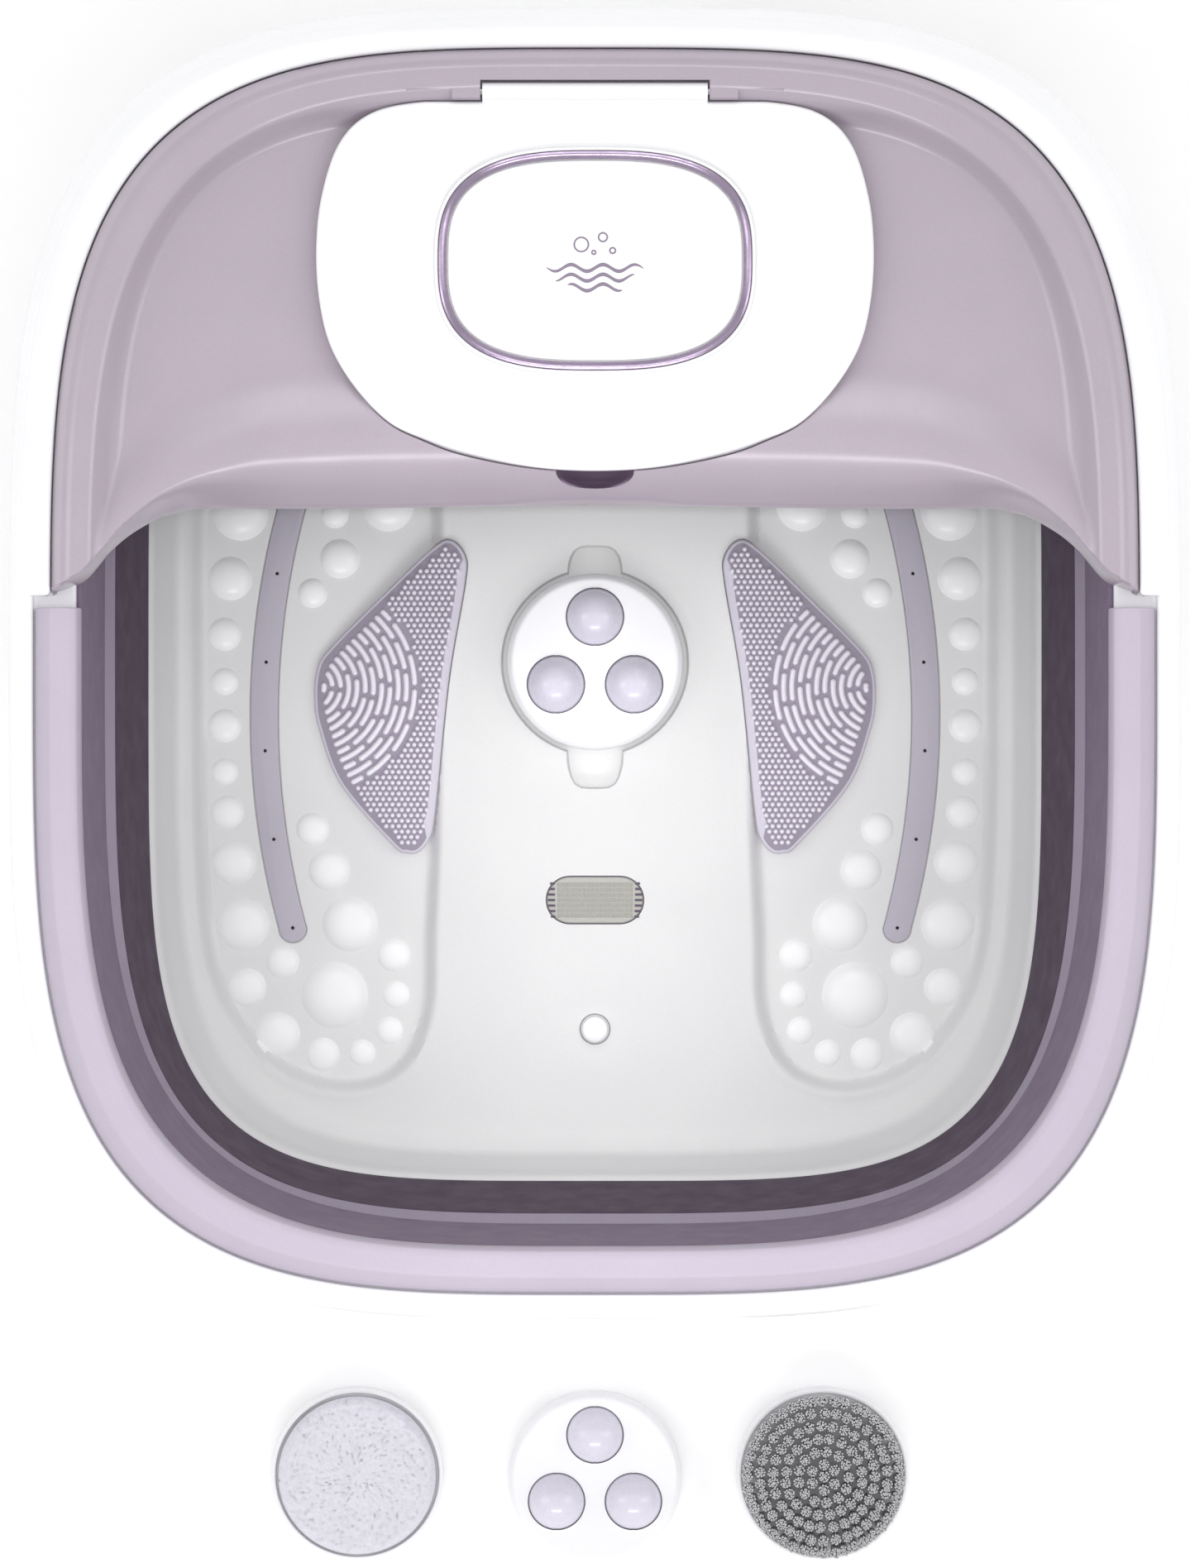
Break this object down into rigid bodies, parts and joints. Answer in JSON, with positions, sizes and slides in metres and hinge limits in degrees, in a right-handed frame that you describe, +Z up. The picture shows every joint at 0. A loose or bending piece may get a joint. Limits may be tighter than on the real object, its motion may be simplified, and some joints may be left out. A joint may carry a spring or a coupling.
{
  "type": "foot spa basin",
  "caption": "Collapsible foot spa basin with folding rubber wall, splash guard, lidded store, massage beds, lift-out roller head, pumice and brush heads.",
  "frame": {"origin": "on the floor, under the middle of the box round the basin and the heads laid out in front of it; the basin's own middle is 48 mm behind it", "axes": "+Z up, -Y towards the user, +Y towards the splash guard, +X to the user's right"},
  "size_m": [0.3886, 0.5305, 0.21],
  "materials": {
    "white_plastic": "satin moulded white",
    "lavender_plastic": "fine pearl grain, lavender",
    "metallic_lavender": "lavender metallised trim",
    "purple_rubber": "matt thermoplastic elastomer, dark purple",
    "pale_silicone": "matt pale lavender silicone",
    "ball_plastic": "smooth pale lavender",
    "clear_plastic": "clear prismatic plastic",
    "black_rubber": "matt",
    "dark_plastic": "moulded",
    "steel": "plated",
    "aluminium_plate": "rolled",
    "circuit_board": "solder mask",
    "pumice": "open pored pumice",
    "bristle": "nylon tufts"
  },
  "bodies": {
    "base": {"base_shell": "white_plastic", "base_plate": "dark_plastic", "rubber_foot_1": "black_rubber", "rubber_foot_2": "black_rubber", "rubber_foot_3": "black_rubber", "rubber_foot_4": "black_rubber", "base_screw_1": "steel", "base_screw_2": "steel", "base_screw_3": "steel", "base_screw_4": "steel", "tub_pan": "white_plastic", "bellows_wall": "purple_rubber", "bubble_strip_left": "pale_silicone", "bubble_strip_right": "pale_silicone", "arch_scrubber_left": "pale_silicone", "arch_scrubber_right": "pale_silicone", "air_hose_left": "clear_plastic", "air_hose_right": "clear_plastic", "light_lens": "clear_plastic", "light_housing": "dark_plastic", "light_board": "circuit_board", "toe_switch": "dark_plastic", "cord_gland": "black_rubber", "blower_housing": "dark_plastic", "blower_motor": "steel", "vibration_motor": "steel", "motor_bracket": "dark_plastic", "heater_plate": "aluminium_plate", "thermostat": "dark_plastic", "control_board": "circuit_board"},
    "upper_frame": {"upper_shell": "white_plastic", "rim_liner": "lavender_plastic"},
    "guard": {"splash_guard": "lavender_plastic", "storage_tray": "white_plastic", "lid_hinge_pin": "steel"},
    "lid": {"storage_lid": "white_plastic", "medallion_ring": "metallic_lavender", "medallion_plate": "white_plastic"},
    "toe_button": {"toe_button": "white_plastic"},
    "blower_rotor": {"blower_impeller": "white_plastic"},
    "vibration_rotor": {"motor_shaft": "steel", "eccentric_weight": "steel"},
    "docked_roller": {"docked_roller_base": "white_plastic", "docked_roller_cover": "white_plastic"},
    "loose_roller": {"loose_roller_base": "white_plastic", "loose_roller_cover": "white_plastic"},
    "pumice_head": {"pumice_holder": "white_plastic", "pumice_stone": "pumice"},
    "brush_head": {"brush_holder": "white_plastic", "brush_bristles": "bristle"},
    "docked_roller_ball_1": {"docked_roller_ball_1": "ball_plastic"},
    "docked_roller_ball_2": {"docked_roller_ball_2": "ball_plastic"},
    "docked_roller_ball_3": {"docked_roller_ball_3": "ball_plastic"},
    "loose_roller_ball_1": {"loose_roller_ball_1": "ball_plastic"},
    "loose_roller_ball_2": {"loose_roller_ball_2": "ball_plastic"},
    "loose_roller_ball_3": {"loose_roller_ball_3": "ball_plastic"}
  },
  "joints": [
    {"name": "collapse", "type": "slide", "parent": "base", "child": "upper_frame", "axis": [0, 0, -1], "range_m": [0, 0.075], "deforming": ["bellows_wall"]},
    {"name": "guard_lift_off", "type": "slide", "parent": "upper_frame", "child": "guard", "axis": [0, 0, 1], "range_m": [0, 0.12]},
    {"name": "lid_hinge", "type": "hinge", "parent": "guard", "child": "lid", "pos_m": [0, 0.2356, 0.207], "axis": [-1, 0, 0], "range_deg": [0, 100]},
    {"name": "toe_press", "type": "slide", "parent": "base", "child": "toe_button", "axis": [0, 0, -1], "range_m": [0, 0.002], "stiffness_N_per_m": 200, "springref_m": -0.004},
    {"name": "blower_spin", "type": "hinge", "parent": "base", "child": "blower_rotor", "pos_m": [0, 0.143, 0.025], "axis": [0, 0, 1], "continuous": true},
    {"name": "vibration_spin", "type": "hinge", "parent": "base", "child": "vibration_rotor", "pos_m": [0.023, 0.002, 0.034], "axis": [1, 0, 0], "continuous": true},
    {"name": "docked_roller_lift_off", "type": "slide", "parent": "base", "child": "docked_roller", "axis": [0, 0, 1], "range_m": [0, 0.12]},
    {"name": "loose_roller_lift", "type": "slide", "parent": "base", "child": "loose_roller", "axis": [0, 0, 1], "range_m": [0, 0.12]},
    {"name": "pumice_head_lift", "type": "slide", "parent": "base", "child": "pumice_head", "axis": [0, 0, 1], "range_m": [0, 0.12]},
    {"name": "brush_head_lift", "type": "slide", "parent": "base", "child": "brush_head", "axis": [0, 0, 1], "range_m": [0, 0.12]},
    {"name": "docked_roller_ball_1_roll", "type": "hinge", "parent": "docked_roller", "child": "docked_roller_ball_1", "pos_m": [0, 0.0655, 0.0673], "axis": [1, 0, 0], "continuous": true},
    {"name": "docked_roller_ball_2_roll", "type": "hinge", "parent": "docked_roller", "child": "docked_roller_ball_2", "pos_m": [-0.01342, 0.04225, 0.0673], "axis": [1, 0, 0], "continuous": true},
    {"name": "docked_roller_ball_3_roll", "type": "hinge", "parent": "docked_roller", "child": "docked_roller_ball_3", "pos_m": [0.01342, 0.04225, 0.0673], "axis": [1, 0, 0], "continuous": true},
    {"name": "loose_roller_ball_1_roll", "type": "hinge", "parent": "loose_roller", "child": "loose_roller_ball_1", "pos_m": [0, -0.2195, 0.0129], "axis": [1, 0, 0], "continuous": true},
    {"name": "loose_roller_ball_2_roll", "type": "hinge", "parent": "loose_roller", "child": "loose_roller_ball_2", "pos_m": [-0.01342, -0.24275, 0.0129], "axis": [1, 0, 0], "continuous": true},
    {"name": "loose_roller_ball_3_roll", "type": "hinge", "parent": "loose_roller", "child": "loose_roller_ball_3", "pos_m": [0.01342, -0.24275, 0.0129], "axis": [1, 0, 0], "continuous": true}
  ]
}
